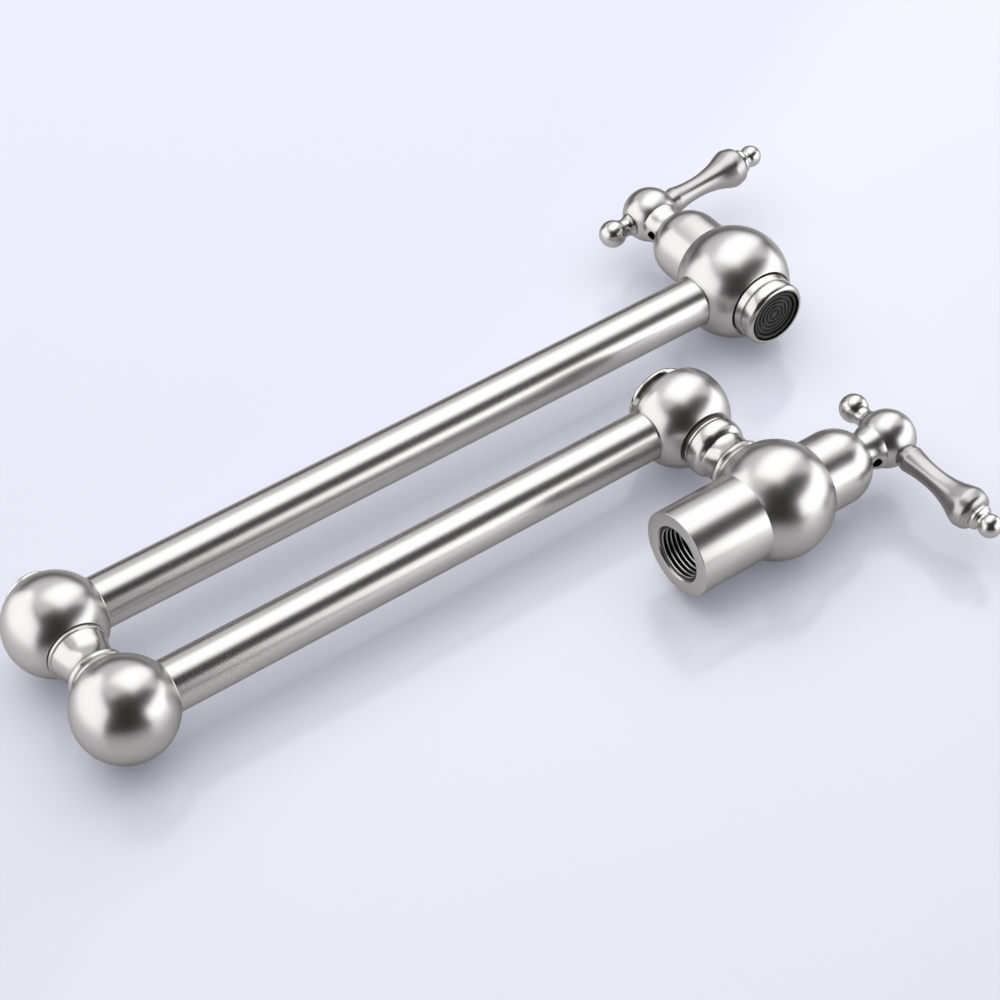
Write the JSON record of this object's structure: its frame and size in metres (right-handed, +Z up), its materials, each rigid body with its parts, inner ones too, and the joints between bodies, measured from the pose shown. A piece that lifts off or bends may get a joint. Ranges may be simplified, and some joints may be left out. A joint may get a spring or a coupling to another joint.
{
  "type": "wall mounted pot filler tap",
  "caption": "Wall mounted folding pot filler: two swinging tubular arms on ball joints, with a lever valve at the wall and another over the spout.",
  "frame": {"origin": "centre of the inlet face, the flat ring that comes up against the wall", "axes": "+X out of the wall along the inlet and the wall valve, +Z up along the swivels, +Y to complete a right-handed frame"},
  "size_m": [0.3678, 0.0428, 0.2187],
  "materials": {
    "satin_nickel": "brushed nickel, satin",
    "polished_nickel": "brushed nickel, bright",
    "brass": "machined",
    "steel": "plain stainless steel",
    "ceramic": "lapped ceramic",
    "rubber": "matt black",
    "black_plastic": "black moulded plastic"
  },
  "bodies": {
    "wall_valve": {"valve_body": "satin_nickel", "wall_bonnet": "satin_nickel", "wall_bonnet_gasket": "rubber", "wall_cartridge": "brass", "wall_fixed_disc": "ceramic", "wall_seat_seal": "rubber", "lower_stem": "polished_nickel", "lower_bearing_washer": "black_plastic", "lower_o_ring_bottom": "rubber", "lower_o_ring_top": "rubber", "lower_retaining_nut": "brass"},
    "inner_arm": {"inner_hub": "satin_nickel", "inner_hub_cap": "polished_nickel", "inner_tube": "satin_nickel", "inner_elbow": "satin_nickel", "elbow_stem": "polished_nickel", "elbow_bearing_washer": "black_plastic", "elbow_o_ring_bottom": "rubber", "elbow_o_ring_top": "rubber", "elbow_retaining_nut": "brass"},
    "outer_arm": {"outer_hub": "satin_nickel", "outer_hub_cap": "polished_nickel", "outer_tube": "satin_nickel", "outlet_body": "satin_nickel", "outlet_bonnet": "satin_nickel", "outlet_bonnet_gasket": "rubber", "outlet_cartridge": "brass", "outlet_fixed_disc": "ceramic", "outlet_seat_seal": "rubber", "aerator_housing": "polished_nickel", "aerator_insert": "black_plastic", "aerator_washer": "rubber"},
    "wall_handle": {"wall_handle_hub": "satin_nickel", "wall_handle_lever": "polished_nickel", "wall_handle_finial": "polished_nickel", "wall_handle_screw": "steel", "wall_spindle": "brass", "wall_spindle_o_ring": "rubber", "wall_spindle_clip": "steel", "wall_moving_disc": "ceramic"},
    "outlet_handle": {"outlet_handle_hub": "satin_nickel", "outlet_handle_lever": "polished_nickel", "outlet_handle_finial": "polished_nickel", "outlet_handle_screw": "steel", "outlet_spindle": "brass", "outlet_spindle_o_ring": "rubber", "outlet_spindle_clip": "steel", "outlet_moving_disc": "ceramic"}
  },
  "joints": [
    {"name": "lower_swivel", "type": "hinge", "parent": "wall_valve", "child": "inner_arm", "pos_m": [0.0437, 0, 0.0533], "axis": [0, 0, 1], "continuous": true},
    {"name": "elbow_swivel", "type": "hinge", "parent": "inner_arm", "child": "outer_arm", "pos_m": [-0.1861, 0, 0.1003], "axis": [0, 0, 1], "continuous": true},
    {"name": "wall_handle_turn", "type": "hinge", "parent": "wall_valve", "child": "wall_handle", "pos_m": [0.0952, 0, 0], "axis": [1, 0, 0], "range_deg": [0, 90]},
    {"name": "outlet_handle_turn", "type": "hinge", "parent": "outer_arm", "child": "outlet_handle", "pos_m": [0.107, 0, 0.1518], "axis": [0, 0, 1], "range_deg": [0, 90]}
  ]
}
